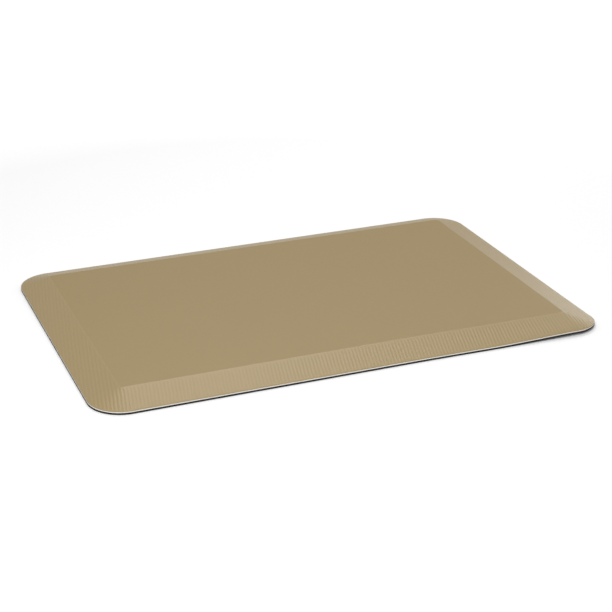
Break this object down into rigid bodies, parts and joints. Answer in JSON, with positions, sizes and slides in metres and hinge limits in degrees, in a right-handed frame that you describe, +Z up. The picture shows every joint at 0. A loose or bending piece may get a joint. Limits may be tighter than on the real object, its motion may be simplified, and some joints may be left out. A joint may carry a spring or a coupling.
{
  "type": "anti fatigue mat",
  "caption": "Low rectangular cushioned floor mat with rounded corners and a bevelled border, for standing on at a desk or workbench.",
  "frame": {"origin": "centre of the underside, on the floor", "axes": "+X along the long side, +Y along the short side, +Z up out of the standing surface"},
  "size_m": [0.9144, 0.6096, 0.0222],
  "materials": {
    "cover": "matt khaki moulded skin, fine grain on the level part and fine ribs on the bevels",
    "soft_foam": "pale soft open-cell foam",
    "firm_foam": "pale firm fine-cell foam, cut edge showing",
    "scrim_fabric": "thin dark woven mesh",
    "base_rubber": "matt near-black rubber, moulded grip pattern underneath"
  },
  "bodies": {
    "root": {"base_sheet": "base_rubber", "stabiliser_scrim": "scrim_fabric", "support_foam": "firm_foam", "comfort_foam": "soft_foam", "cover_skin": "cover"}
  },
  "joints": []
}
